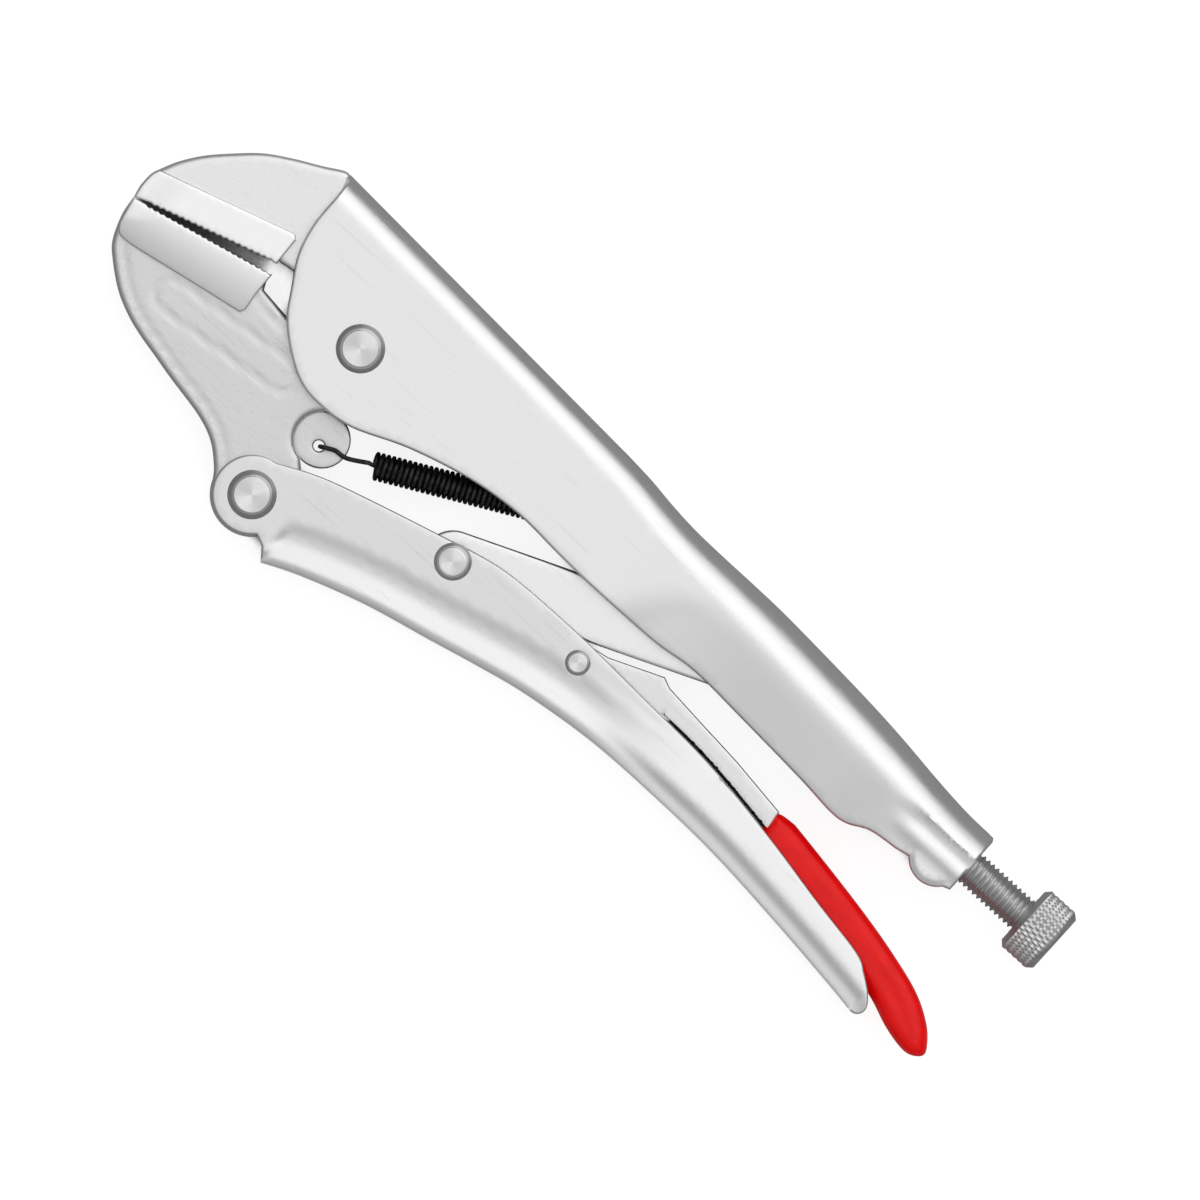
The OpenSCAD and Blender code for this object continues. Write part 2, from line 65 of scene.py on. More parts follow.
def low(node):
    return np.array(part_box(node)[0]) / MM


def high(node):
    return np.array(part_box(node)[1]) / MM


def pivot(joint):
    """Where a joint's axis crosses the mid plane."""
    found = next(j for j in frame["joints"] if j["name"] == joint)
    return np.array(found["pos_m"][:2]) / MM


def half_depth(node):
    return (high(node)[2] - low(node)[2]) / 2


MID = high("jaw_rivet")[2] / 2          # height of the mid plane above the floor
MAIN = pivot("jaw_pivot")
LEVER = pivot("lever_pivot")
LINK = pivot("link_pivot")
RELEASE = pivot("release_pivot")
SCREW_Y = pivot("screw_turn")[1]
TAIL_X = high("fixed_handle")[0]        # the tail's face
LEVER_X = high("lever_handle")[0]       # the lever's tip
SLEEVE_X = low("release_sleeve")[0]
RELEASE_X = high("release_sleeve")[0]
KNOB_X = high("adjusting_screw")[0]
SCREW_X = low("adjusting_screw")[0]
NOSE_X = high("toggle_link")[0]

SHEET = 2.8                             # steel of the fixed handle
LEVER_SHEET = 2.4                       # steel of the lever
WEB = 4.5                               # half thickness of the forged webs
SLOT = WEB + 0.1                        # inner faces of all cheeks
CHEEK = SLOT + SHEET                    # outer face of the fixed handle's cheeks
LEVER_CHEEK = SLOT + LEVER_SHEET
FLANGE_SLOT = half_depth("toggle_link") + 0.3
FLANGE = FLANGE_SLOT + SHEET
BAR = half_depth("upper_jaw")           # half width of the gripping bars
THROAT = 25.2                           # where the gripping bars end
JAW = -low("upper_jaw")[0]              # nose of the jaws
BOSS = 9                                # boss on the main pivot
EYE = 8.9                               # lower jaw's eye on the lever pivot
LEVER_EYE = 8.4                         # lever's eye on the same pivot
LINK_HALF = 6.6                         # half width of the toggle link
NOSE = 5.5                              # radius of the link's nose
BORE = 4.05                             # bore of the handle's tail
SPRING_LUG = LEVER + [3.1, 18.4]        # middle of the lower jaw's lug
LUG_HOLE = SPRING_LUG + [0.4, -1.4]
TAB_HOLE = np.array([66.5, 9.2])        # hole of the handle's tab, inside the cheeks
TAB_HALF = 1.0                          # half thickness of that tab
SHANK = 3.6                             # rivets on the main and lever pivots
LINK_SHANK = 2.8
PIN_SHANK = 1.8
SWIVEL = 0.05                           # clearance round a shank that a piece turns on
RIVETED = 0.01                          # and round a shank clenched tight


# ---- curves in the plane ----

def through(points, steps=6):
    """A smooth curve through the points."""
    p = np.array([points[0], *points, points[-1]], float)
    t = (np.arange(steps) / steps)[:, None]
    spans = []
    for a, b, c, d in zip(p, p[1:], p[2:], p[3:]):
        spans.append(0.5 * (2 * b + (c - a) * t + (2 * a - 5 * b + 4 * c - d) * t ** 2
                            + (3 * b - a - 3 * c + d) * t ** 3))
    return np.vstack([*spans, p[-1:]])


def polar(centre, radius, degrees):
    a = np.radians(degrees)
    return np.array(centre) + radius * np.array([np.cos(a), np.sin(a)])


def arc(centre, radius, start, end, steps=24):
    return np.array([polar(centre, radius, a) for a in np.linspace(start, end, steps + 1)])


def joined(*curves):
    return np.vstack([np.atleast_2d(np.array(c, float)) for c in curves])


def dense(outline, gap, closed=True):
    """The outline with points added so that none lie further apart than gap."""
    ends = np.roll(outline, -1, axis=0) if closed else outline[1:]
    made = []
    for a, b in zip(outline, ends):
        n = max(1, math.ceil(np.linalg.norm(b - a) / gap))
        made.extend(a + (b - a) * k / n for k in range(n))
    if not closed:
        made.append(outline[-1])
    return np.array(made)


def to_edge(points, outline, closed=True):
    """Distance from each point to the nearest side of the outline."""
    a = outline if closed else outline[:-1]
    d = (np.roll(outline, -1, axis=0) if closed else outline[1:]) - a
    best = np.full(len(points), 1e9)
    length = np.maximum((d * d).sum(1), 1e-12)
    for start, way, n in zip(a, d, length):
        rel = points - start
        t = np.clip(rel @ way / n, 0, 1)
        best = np.minimum(best, np.hypot(*(rel - t[:, None] * way).T))
    return best


def within(points, outline):
    """Whether each point lies inside the outline."""
    x, y = points.T
    odd = np.zeros(len(points), bool)
    for (ax, ay), (bx, by) in zip(outline, np.roll(outline, -1, axis=0)):
        if ay != by:
            crossing = (ay > y) != (by > y)
            odd ^= crossing & (x < (bx - ax) * (y - ay) / (by - ay) + ax)
    return odd


def ease(a, b, x):
    """0 at a and 1 at b, with a smooth way between them."""
    t = np.clip((x - a) / (b - a), 0, 1)
    return t * t * (3 - 2 * t)


def along(stations, x):
    """A smooth value along X, from stations (x, value)."""
    line = through(stations)
    return np.interp(x, line[:, 0], line[:, 1])


def rounded(d, half, radius):
    """Half thickness of a plate d in from its edge, with the edge rounded to the radius."""
    t = np.clip(1 - d / radius, 0, 1)
    return half - radius + radius * np.sqrt(1 - t * t)


# ---- solids ----

RIM = np.array([0.05, 0.19, 0.41, 0.69, 1.0])   # rows of points across a rounded edge


def relief(outline, top, under=None, holes=(), step=1.2, rim=1.0, rows=()):
    """A solid that is alike on both sides of the mid plane: top(x, y, d) is its half thickness, where d
    is the way in from the edge, under(x, y) is half the space inside it, and rows are further points."""
    loops = [dense(outline, 0.7)] + [arc(c, r, 0, 360, 40)[:-1] for c, r in holes]
    edges, count = [], 0
    for loop in loops:
        n = len(loop)
        edges += [(count + i, count + (i + 1) % n) for i in range(n)]
        count += n
    inner = [np.array(r, float) for r in rows]
    for loop in loops:
        way = np.roll(loop, -1, axis=0) - np.roll(loop, 1, axis=0)
        side = np.column_stack([-way[:, 1], way[:, 0]]) / np.maximum(np.hypot(*way.T), 1e-9)[:, None]
        for s in (-1, 1):
            inner += [loop + s * side * depth for depth in RIM * rim]
    lo, hi = outline.min(0), outline.max(0)
    gx, gy = np.meshgrid(np.arange(lo[0], hi[0], step), np.arange(lo[1], hi[1], step * 0.87))
    gx[1::2] += step / 2
    grid = np.column_stack([gx.ravel(), gy.ravel()])
    depth = np.min([to_edge(grid, loop) for loop in loops], axis=0)
    inner.append(grid[depth > rim + step * 0.4])
    inner = np.vstack(inner)
    inner = inner[within(inner, loops[0])]
    for loop in loops[1:]:
        inner = inner[~within(inner, loop)]
    depth = np.min([to_edge(inner, loop) for loop in loops], axis=0)
    inner = inner[depth > RIM[0] * rim * 0.9]
    cell = min(0.3, rim * 0.15)
    _, first = np.unique(np.round(inner / cell).astype(int), axis=0, return_index=True)
    points = np.vstack([*loops, inner[np.sort(first)]])
    flat, _, faces, *_ = delaunay_2d_cdt([Vector(p) for p in points], edges, [], 0, 1e-5)
    flat = np.array(flat)
    faces = np.array(faces)
    middle = flat[faces].mean(1)
    keep = within(middle, loops[0])
    for loop in loops[1:]:
        keep &= ~within(middle, loop)
    faces = faces[keep]
    depth = np.min([to_edge(flat, loop) for loop in loops], axis=0)
    depth[depth < 1e-4] = 0
    x, y = flat.T
    upper = np.maximum(top(x, y, depth), 0)
    lower = np.zeros(len(x)) if under is None else np.clip(under(x, y), 0, np.maximum(upper - 0.5, 0))
    n = len(flat)
    verts = np.vstack([np.column_stack([x, y, z]) for z in (upper, lower, -upper, -lower)])
    open_faces = faces[(lower[faces] > 0).any(1)]
    made = [tuple(f) for f in faces] + [tuple(f[::-1] + n) for f in open_faces]
    made += [tuple(f[::-1] + 2 * n) for f in faces] + [tuple(f + 3 * n) for f in open_faces]
    once = {}
    for a, b, c in faces:
        for e in ((a, b), (b, c), (c, a)):
            once[tuple(sorted(e))] = None if tuple(sorted(e)) in once else e
    for a, b in filter(None, once.values()):
        made.append((b, a, a + n, b + n))
        made.append((a + 2 * n, b + 2 * n, b + 3 * n, a + 3 * n))
    return verts, made


def lathe(profile, turns=64, shape=None):
    """A solid turned about its own Z from (radius, height) points; shape(radius, height, angle) changes
    the radius."""
    p = np.array(profile, float)
    angles = np.arange(turns) * 2 * np.pi / turns
    r, h = np.repeat(p[:, :1], turns, 1), np.repeat(p[:, 1:], turns, 1)
    if shape:
        r = shape(r, h, np.broadcast_to(angles, r.shape))
    verts = np.column_stack([(r * np.cos(angles)).ravel(), (r * np.sin(angles)).ravel(), h.ravel()])
    faces = []
    for i in range(len(p) - 1):
        for k in range(turns):
            n = (k + 1) % turns
            faces.append((i * turns + k, i * turns + n, (i + 1) * turns + n, (i + 1) * turns + k))
    return verts, faces


def upright(part, centre):
    """A turned part set on its axis, square to the mid plane."""
    verts, faces = part
    return verts + np.array([*centre, 0]), faces


def along_screw(part, x):
    """A turned part laid along the adjusting screw's axis."""
    verts, faces = part
    return np.column_stack([verts[:, 2] + x, verts[:, 0] + SCREW_Y, verts[:, 1]]), faces


def wire(path, radius, sides=10):
    """A round wire along a path of points."""
    path = np.array(path, float)
    way = np.gradient(path, axis=0)
    way /= np.linalg.norm(way, axis=1)[:, None]
    side = np.cross(way[0], [0.3, 0.2, 1])
    verts = []
    for p, w in zip(path, way):
        side = side - (side @ w) * w
        side /= np.linalg.norm(side)
        other = np.cross(w, side)
        verts += [p + radius * (math.cos(a) * side + math.sin(a) * other)
                  for a in np.arange(sides) * 2 * math.pi / sides]
    n = len(path)
    faces = [(i * sides + k, i * sides + (k + 1) % sides, (i + 1) * sides + (k + 1) % sides,
              (i + 1) * sides + k) for i in range(n - 1) for k in range(sides)]
    faces += [tuple(range(sides))[::-1], tuple(range((n - 1) * sides, n * sides))]
    return np.array(verts), faces


def solid(name, parts, materials, crease=32, pick=None):
    """One mesh object of several closed parts. pick(centre) gives a face's place in materials."""
    verts, faces, count = [], [], 0
    for v, f in parts:
        verts.append(v)
        faces += [tuple(int(i) + count for i in face) for face in f]
        count += len(v)
    verts = np.vstack(verts) * MM + np.array([0, 0, MID * MM])
    mesh = bpy.data.meshes.new(name)
    mesh.from_pydata(verts.tolist(), [], faces)
    work = bmesh.new()
    work.from_mesh(mesh)
    bmesh.ops.remove_doubles(work, verts=work.verts, dist=2e-7)
    bmesh.ops.dissolve_degenerate(work, edges=work.edges, dist=1e-7)
    bmesh.ops.holes_fill(work, edges=[e for e in work.edges if e.is_boundary], sides=0)
    bmesh.ops.recalc_face_normals(work, faces=work.faces)
    for face in work.faces:
        face.smooth = True
        if pick:
            face.material_index = pick(np.array(face.calc_center_median()) / MM - [0, 0, MID])
    work.to_mesh(mesh)
    work.free()
    mesh.set_sharp_from_angle(angle=math.radians(crease))
    for material in materials:
        mesh.materials.append(material)
    piece = bpy.data.objects.new(name, mesh)
    bpy.context.scene.collection.objects.link(piece)
    return piece


# ---- materials ----

class Wire:
    """One socket of a material's nodes. Sums and products of wires add the Math nodes."""

    def __init__(self, tree, socket=None):
        self.tree = tree
        self.socket = socket

    def node(self, kind, settings=None, values=None, out=0):
        """A node of this kind, with its settings set first and then its sockets' values or links."""
        made = self.tree.nodes.new("ShaderNode" + kind)
        for key, value in (settings or {}).items():
            if key == "stops":
                ramp = made.color_ramp.elements
                while len(ramp) < len(value):
                    ramp.new(0.5)
                for stop, (place, level) in zip(ramp, value):
                    stop.position = place
                    stop.color = (level, level, level, 1)
            else:
                setattr(made, key, value)
        for key, value in (values or {}).items():
            if isinstance(value, Wire):
                self.tree.links.new(value.socket, made.inputs[key])
            else:
                made.inputs[key].default_value = value
        return Wire(self.tree, made.outputs[out])

    def maths(self, operation, a, b=0.0):
        return self.node("Math", {"operation": operation}, {0: a, 1: b})

    def __add__(self, other):
        return self.maths("ADD", self, other)

    def __sub__(self, other):
        return self.maths("SUBTRACT", self, other)

    def __rsub__(self, other):
        return self.maths("SUBTRACT", other, self)

    def __mul__(self, other):
        return self.maths("MULTIPLY", self, other)

    __radd__ = __add__
    __rmul__ = __mul__

    def ramp(self, *stops):
        return self.node("ValToRGB", {"stops": stops}, {0: self})

    def mixed(self, a, b):
        """Colour a where this wire is 0, and colour b where it is 1."""
        return self.node("Mix", {"data_type": "RGBA"}, {0: self, 6: a, 7: b}, out=2)

    def stretched(self, x, y, z):
        return self.node("VectorMath", {"operation": "MULTIPLY"}, {0: self, 1: (x, y, z)})

    def noise(self, scale, detail=3.0, rough=0.5):
        return self.node("TexNoise", {}, {"Vector": self, "Scale": scale, "Detail": detail,
                                          "Roughness": rough})


def material_of(name, build):
    """A material. build(mm) gets the place on the piece in mm and returns the shader's values."""
    material = bpy.data.materials.new(name)
    material.use_nodes = True
    tree = material.node_tree
    shader = tree.nodes["Principled BSDF"]
    place = Wire(tree).node("TexCoord", out=3)
    mm = place.stretched(1 / MM, 1 / MM, 1 / MM)
    for key, value in build(mm).items():
        if isinstance(value, Wire):
            tree.links.new(value.socket, shader.inputs[key])
        else:
            shader.inputs[key].default_value = value
    return material


def grey(level, warm=0.0):
    return (level * (1 + warm), level, level * (1 - warm), 1)


def bumped(height, depth):
    """A normal from a height, where 1 stands for so many mm."""
    return height.node("Bump", {}, {"Distance": depth * MM, "Height": height})


def plating(name, tone, rough, grain=0.006, brushed=0.0, speck=0.10, pitted=0.0):
    """Satin zinc plating: clouds, fine specks, brush marks along X, thin scratches and small pits."""
    def build(mm):
        clouds = mm.noise(0.07, 4.0, 0.6)
        specks = mm.noise(2.6, 2.0, 0.7)
        strokes = mm.stretched(0.05, 1.6, 1.6).noise(1.0, 4.0, 0.7)
        scratch = mm.stretched(0.05, 2.3, 2.3).noise(0.9, 1.0, 0.4).ramp((0.68, 0), (0.72, 1))
        pits = mm.noise(0.9, 2.0, 0.5).ramp((0.33, 1), (0.40, 0))
        shade = (clouds - 0.5) * 0.35 + (specks - 0.5) * speck * 4 + (strokes - 0.5) * brushed
        colour = (shade + 0.5).ramp((0.0, 0), (1.0, 1)).mixed(grey(tone * 0.84), grey(min(tone * 1.12, 0.97)))
        relief_height = specks + strokes * brushed * 1.5 - scratch * 0.5 - pits * (pitted * 4)
        return {
            "Base Color": colour,
            "Metallic": 1.0,
            "Roughness": (clouds - 0.5) * 0.12 + (specks - 0.5) * 0.12 + scratch * 0.08 + rough,
            "Normal": bumped(relief_height, grain),
        }
    return material_of(name, build)


def turned_steel(name, centre, tone=0.9):
    """Polished steel with the fine rings that a lathe leaves round the centre."""
    def build(mm):
        moved = mm.node("VectorMath", {"operation": "SUBTRACT"}, {0: mm, 1: (*centre, 0)})
        flat = moved.stretched(1, 1, 0)
        way = flat.node("VectorMath", {"operation": "LENGTH"}, {0: flat}, out=1)
        rings = mm.maths("SINE", way * 11.0)
        clouds = mm.noise(0.5, 3.0)
        return {
            "Base Color": clouds.mixed(grey(tone * 0.8), grey(tone * 1.1)),
            "Metallic": 1.0,
            "Roughness": clouds * 0.10 + 0.34,
            "Anisotropic": 0.92,
            "Anisotropic Rotation": 0.25,
            "Normal": bumped(rings * 0.5 + 0.5 + clouds * 0.8, 0.006),
        }
    return material_of(name, build)


def dipped_vinyl(name):
    """Glossy red vinyl that ran and set: slow waves, darker in their low parts, fine orange peel, and a
    painted red glow that brightens it.
    """
    def build(mm):
        waves = mm.stretched(0.5, 1, 1).noise(0.35, 2.0)
        peel = mm.noise(1.8, 3.0, 0.6)
        dust = mm.noise(3.5, 2.0, 0.7).ramp((0.60, 0), (0.72, 1))
        colour = waves.ramp((0.3, 0), (0.7, 1)).mixed((0.82, 0.002, 0.003, 1), (0.96, 0.005, 0.005, 1))
        return {
            "Base Color": colour,
            "Roughness": peel * 0.10 + dust * 0.12 + 0.20,
            "Specular IOR Level": 0.14,
            "Coat Weight": 0.2,
            "Coat Roughness": 0.06,
            # painted light: the red glows faintly, more where the waves run high, so it looks brighter than
            # the lamps make it
            "Emission Color": waves.mixed((0.45, 0.0, 0.0, 1), (0.6, 0.0, 0.0, 1)),
            "Emission Strength": 0.25,
            "Normal": bumped(waves * 2.0 + peel * 0.5, 0.02),
        }
    return material_of(name, build)


def oiled_black(name):
    """Black oxide on drawn wire, rubbed grey on its crests; the same black is also laid as painted shade in
    the release lever's channel.
    """
    def build(mm):
        clouds = mm.noise(0.8, 3.0)
        drawn = mm.noise(6.0, 2.0, 0.7)
        return {
            "Base Color": (clouds * 0.6 + drawn * 0.4).ramp((0.42, 0), (0.62, 1))
            .mixed(grey(0.010), grey(0.06)),
            "Metallic": 0.7,
            "Roughness": drawn * 0.2 + 0.28,
            "Normal": bumped(drawn, 0.008),
        }
    return material_of(name, build)


handle_zinc = plating("handle_zinc", 0.82, 0.30, grain=0.0035, brushed=0.10, speck=0.05)
# painted shade: the lever's zinc is the handle's zinc painted darker, as though the lever lay in shade
shaded_lever_zinc = plating("shaded_lever_zinc", 0.73, 0.30, grain=0.0035, brushed=0.12, speck=0.06)
forged_zinc = plating("forged_zinc", 0.74, 0.40, grain=0.012, speck=0.10, pitted=0.25)
crown_zinc = plating("crown_zinc", 0.88, 0.38, grain=0.010, speck=0.09, pitted=0.2)
ground_steel = plating("ground_steel", 0.97, 0.30, grain=0.004, speck=0.06)
link_zinc = plating("link_zinc", 0.90, 0.34, grain=0.006, speck=0.07)
release_zinc = plating("release_zinc", 0.80, 0.34, grain=0.006, speck=0.08)
screw_zinc = plating("screw_zinc", 0.62, 0.34, grain=0.006, speck=0.10)
knob_zinc = plating("knob_zinc", 0.65, 0.36, grain=0.006, speck=0.10)
# black oxide for the spring, also used as painted shade in the release lever's channel
spring_black = oiled_black("spring_black")
red_vinyl = dipped_vinyl("red_vinyl")


# ---- jaws ----

SLOPE = math.tan(math.radians(17))              # of the upper grip face
LOWER_SLOPE = math.tan(math.radians(17 - 3.9))  # of the lower one, with the jaws locked
GRIP_NOSE = -THROAT - 0.98 * (JAW - THROAT)


def grip_y(x):
    return 1.35 + (x + THROAT) * SLOPE


def lower_grip_y(x):
    return grip_y(GRIP_NOSE) - 0.15 + (x - GRIP_NOSE) * LOWER_SLOPE


def jaw_point(share, up):
    """A point a share of the way from the throat to the nose, above the upper grip face."""
    x = -THROAT - share * (JAW - THROAT)
    return [x, grip_y(x) + up]


def back_y(x):
    """The straight back over the fixed handle's cheeks."""
    return 24.25 - 0.0537 * x


def teeth(a, b, pitch=1.4, depth=0.32):
    """Saw teeth from a to b, cut to the right of the way."""
    a, b = np.array(a, float), np.array(b, float)
    n = int(np.linalg.norm(b - a) / pitch)
    u = (b - a) / n
    side = np.array([u[1], -u[0]]) / np.linalg.norm(u) * depth
    return np.vstack([[a + i * u, a + (i + 0.5) * u + side] for i in range(n)])


def upper_jaw():
    crown = through([jaw_point(0.98, 0), jaw_point(1, 3.2), jaw_point(0.997, 6.2), jaw_point(0.969, 8.3),
                     jaw_point(0.913, 11.4), jaw_point(0.82, 14.7), jaw_point(0.70, 17.6),
                     jaw_point(0.55, 20.6), jaw_point(0.38, 22.4), jaw_point(0.2, 23.7),
                     [-THROAT - 2.4, back_y(-THROAT) - 0.2], [-THROAT - 0.75, back_y(-THROAT) - 0.1]])
    crown[:, 0] = np.maximum(crown[:, 0], -JAW)
    gap = BOSS + 0.4
    under_back = -SHEET - 0.1
    tang = joined([-THROAT + 0.1, back_y(-THROAT) - 1.5], [-THROAT + 0.6, back_y(-THROAT) + under_back],
                  [19, back_y(19) + under_back],
                  [19, gap * 0.62 + 3], polar(MAIN, gap, 38) + [2, 0], arc(MAIN, gap, 38, 162),
                  [-THROAT + 4.2, 2.6], [-THROAT + 0.6, 2.1], [-THROAT + 0.2, grip_y(-THROAT) + 0.9])

    def web(x, y, d):
        return rounded(d, WEB, 1.1)

    rear = np.array([-THROAT + 0.2, grip_y(-THROAT + 0.2)])
    nose = np.array([GRIP_NOSE, grip_y(GRIP_NOSE)])
    bar = joined(teeth(rear + [-0.8, -0.8 * SLOPE], nose + [3, 3 * SLOPE]),
                 through([nose, jaw_point(0.995, 3.2), jaw_point(0.993, 6.2), jaw_point(0.972, 7.7)]),
                 jaw_point(0.04, 7.7), jaw_point(0.005, 6.6), [rear])

    def bar_top(x, y, d):
        nose_fall = 0.5 * ease(-JAW + 9, -JAW, x)
        return rounded(d, BAR, 0.45) - nose_fall

    parts = [relief(joined(crown, tang)[::-1], web, rim=1.1),
             relief(bar[::-1], bar_top, rim=0.45, step=0.9)]
    return solid("upper_jaw_forging", parts, [crown_zinc, ground_steel], pick=ground_beyond(WEB + 0.15))


def ground_beyond(height):
    """The gripping bars are ground bright where they stand out beyond the webs."""
    return lambda centre: int(abs(centre[2]) > height)


def lower_jaw():
    belly = through([[GRIP_NOSE, lower_grip_y(GRIP_NOSE)], jaw_point(0.96, -4.7), jaw_point(0.894, -10.6),
                     jaw_point(0.807, -14.5), jaw_point(0.648, -20), jaw_point(0.492, -24),
                     jaw_point(0.346, -26.9), jaw_point(0.174, -29.8), [-THROAT, LEVER[1] + 6.6],
                     [-16, LEVER[1] + 4.8], [-10.5, LEVER[1] + 2.6],
                     [LEVER[0] - EYE - 1.2, LEVER[1] - 0.8], polar(LEVER, EYE, 200)])
    outline = joined(belly, arc(LEVER, EYE, 205, 385, 30), [LEVER[0] + 5.4, LEVER[1] + 9.5],
                     arc(SPRING_LUG, 5.9, 262, 130, 14), [BOSS - 2.6, -6.4], arc(MAIN, BOSS, -40, 195, 30),
                     [-THROAT + 9.3, -5.4], [-THROAT + 1.9, -4.5],
                     [-THROAT + 0.6, lower_grip_y(-THROAT) - 0.7])
    panel = np.array([[-37.0, -18.6], [-8.2, -15.2]])

    def web(x, y, d):
        groove = 0.22 * np.exp(-((d - 2.5) / 0.45) ** 2) * ease(-2, -8, x)
        on_panel = to_edge(np.column_stack([x, y]), panel, closed=False)
        frame_line = 0.22 * np.exp(-((on_panel - 3.4) / 0.4) ** 2)
        return rounded(d, WEB, 1.2) - groove - frame_line

    lug_top = relief(arc(SPRING_LUG, 6.1, 0, 360, 48)[:-1], lambda x, y, d: rounded(d, 2.5, 0.5), rim=0.5,
                     holes=[(LUG_HOLE, 1.15)], step=0.9)
    rear = np.array([-THROAT + 1, lower_grip_y(-THROAT + 1)])
    nose = np.array([GRIP_NOSE, lower_grip_y(GRIP_NOSE)])
    foot = joined(rear, [-THROAT + 1.3, rear[1] - 5.6], [-THROAT + 1.8, rear[1] - 9.2],
                  through([[-THROAT + 1.3, rear[1] - 10.4], [-THROAT + 0.2, rear[1] - 10.7],
                           jaw_point(0.211, -12.1), jaw_point(0.522, -10.9), jaw_point(0.77, -9.9),
                           jaw_point(0.88, -8.9), jaw_point(0.925, -7.2), jaw_point(0.948, -5.0), nose]))
    bar = joined(teeth(nose + 3 * np.array([1, LOWER_SLOPE]), rear), foot)

    def bar_top(x, y, d):
        share = np.clip((lower_grip_y(x) - y) / (10.6 + 0.055 * (x + THROAT)), 0, 1)
        fall = (0.10 * share + 0.45 * share ** 2) * (BAR - WEB)
        nose_fall = 0.5 * ease(-JAW + 9, -JAW, x)
        return rounded(d, BAR, 0.45) - np.maximum(fall, nose_fall)

    holes = [(MAIN, SHANK + SWIVEL), (LEVER, SHANK + SWIVEL)]
    parts = [relief(outline, web, rim=1.2, holes=holes, step=1.0), lug_top,
             relief(bar, bar_top, rim=0.45, step=0.9)]
    return solid("lower_jaw_forging", parts, [forged_zinc, ground_steel], pick=ground_beyond(WEB + 0.3))


# ---- fixed handle ----

# The handle's lines are stations (x, y) along its edges, and (x, value) for the sizes of its section.
TOP = [[TAIL_X, 12.3], [TAIL_X - 0.35, 12.9], [TAIL_X - 1.2, 13.2], [160, 13.4], [151, 14.3], [138, 16.0],
       [125, 17.2], [105, 18.5], [95.6, 18.75], [87, 18.8], [78, 19.0], [70.5, 19.7], [64, 20.6],
       [57, back_y(57)]]
FRONT = [[-THROAT - 0.9, back_y(-THROAT - 0.9)], [-THROAT - 0.25, back_y(-THROAT) - 1.2]]
FRONT_EDGE = [[-THROAT, 20.2], [-THROAT + 0.3, 12.9], [-THROAT + 2.1, 6], [-19.4, -0.3], [-15.8, -5.7],
              [-10.1, -10.6], [-4.1, -13.8], [2, -14.5], [9.8, -13.5], [21.8, -8.6], [35.6, -4.9],
              [48, -3.5], [60, -4.1], [71.3, -4.4], [87, -4.2], [97.5, -3.1], [111.8, -3.8], [129, -4.9],
              [138.3, -5.8], [142.6, -5.3], [147.2, -3.1], [153.7, -2.3]]
LOBE = np.array([TAIL_X - 6.4, SCREW_Y - 3.2])  # pressed lobe under the tail
LOBE_R = 6.05
FOLD = [[-40, 6.0], [0, 6.0], [40, 6.2], [60, 6.5], [76, 7.1], [90, 7.8], [105, 8.5], [125, 8.7], [140, 8.4],
        [150, 8.0], [TAIL_X, 7.9], [180, 7.9]]
SIDE = [[-40, CHEEK], [30, CHEEK], [55, CHEEK], [70, 7.5], [82, 7.85], [94, 8.3], [108, 8.65], [125, 8.7],
        [140, 8.45], [150, 8.1], [TAIL_X, 7.95], [180, 7.95]]
CREST = [[60, 6.0], [78, 7.6], [88, 9.0], [98, 9.6], [106, 9.3], [116, 8.6], [126, 8.1], [138, 7.6],
         [150, 7.0], [160, 6.6], [180, 6.6]]
TAIL_SECTION = [[-8, 6.6], [-2.5, 6.72], [-1, 6.78], [0, 6.9], [0.8, 7.08], [1.6, 7.33], [2.6, 7.5],
                [3.6, 7.42], [4.7, 7.22], [5.7, 7.28], [7.0, 7.55], [8.5, 7.85], [20, 8.2]]


def handle_lines(x):
    """Ridge, fold radius, outer half width and axis height of the fixed handle at x."""
    ridge_line = np.vstack([through(TOP)[::-1], [[400, 13.1]]])
    ridge = np.where(x < 57, back_y(x), np.interp(x, ridge_line[:, 0], ridge_line[:, 1]))
    fold = along(FOLD, x)
    return ridge, fold, along(SIDE, x), ridge - fold


def handle_top(x, y, d):
    ridge, fold, side, axis = handle_lines(x)
    z = rounded(ridge - y, side, fold)
    # the pressed hollow behind the waist falls from the grip's crest to the flange's edge
    below = along(CREST, x) - y
    hollow_from = 73.5 + 0.5 * (y + 1.2) + 0.9 * np.logaddexp(0, (y - 5.5) / 1.5) * 1.5
    hollow = ease(0, 12, x - hollow_from) * (1 + 0.35 * ease(132, 146, x))
    soft = np.logaddexp(0, below / 0.9) * 0.9
    z = z - hollow * soft * np.maximum(side - FLANGE, 0) / 11.5
    # the round tail keeps a flat side with a shallow valley, and falls to the lobe
    tail = ease(146, 156, x)
    z = z * (1 - tail) + np.minimum(rounded(ridge - y, side, fold), along(TAIL_SECTION, y)) * tail
    from_lobe = np.hypot(x - LOBE[0], y - LOBE[1])
    lobe = rounded(np.maximum(LOBE_R - from_lobe, 0), 7.02, 1.5) * (from_lobe < LOBE_R)
    z = np.where(x > 150, np.maximum(z, lobe), z)
    at_edge = (y < axis) | (x < -THROAT + 1)
    return np.where(at_edge, z - 0.6 + rounded(d, 0.6, 0.6), z)


def handle_space(x, y):
    ridge, fold, side, axis = handle_lines(x)
    slot = SLOT + (FLANGE_SLOT - SLOT) * ease(70, 82, x)
    pipe = np.sqrt(np.clip((fold - SHEET) ** 2 - (y - axis) ** 2, 0, None)) * (x > 80)
    space = np.where(ridge - y < SHEET, 0, np.maximum(slot, pipe))
    bore = np.sqrt(np.clip(BORE ** 2 - (y - SCREW_Y) ** 2, 0, None))
    return np.where(x > TAIL_X - 18, bore, space)


